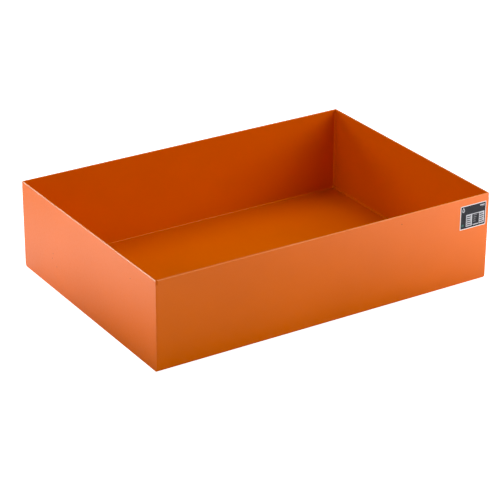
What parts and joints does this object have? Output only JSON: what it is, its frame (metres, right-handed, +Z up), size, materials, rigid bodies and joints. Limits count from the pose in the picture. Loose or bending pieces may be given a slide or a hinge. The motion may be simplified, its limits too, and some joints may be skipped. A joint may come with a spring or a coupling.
{
  "type": "drip tray",
  "caption": "Open rectangular drip tray of folded and welded sheet steel with a flat floor, upright walls and a plain rim, powder coated orange, with a small rating label.",
  "frame": {"origin": "centre of the underside, on the surface that the tray stands on", "axes": "+X along the length, towards the end where the label is; +Y from the front wall with the label to the rear wall; +Z up"},
  "size_m": [0.6, 0.4233, 0.148],
  "materials": {
    "powder_coat": "semi-gloss orange powder coat on sheet steel, fine orange peel",
    "coated_weld": "the same powder coat over weld beads, dressed flush outside and rippled inside",
    "label_film": "printed polyester film, dark grey with a white border and pale table fields"
  },
  "bodies": {
    "root": {"trough": "powder_coat", "left_end_wall": "powder_coat", "right_end_wall": "powder_coat", "corner_weld_front_left": "coated_weld", "corner_weld_front_right": "coated_weld", "corner_weld_rear_left": "coated_weld", "corner_weld_rear_right": "coated_weld", "bottom_weld_left": "coated_weld", "bottom_weld_right": "coated_weld", "inner_seam_front_left": "coated_weld", "inner_seam_front_right": "coated_weld", "inner_seam_rear_left": "coated_weld", "inner_seam_rear_right": "coated_weld", "floor_seam_left": "coated_weld", "floor_seam_right": "coated_weld", "corner_plug_front_left": "coated_weld", "corner_plug_front_right": "coated_weld", "corner_plug_rear_left": "coated_weld", "corner_plug_rear_right": "coated_weld", "rating_label": "label_film"}
  },
  "joints": []
}
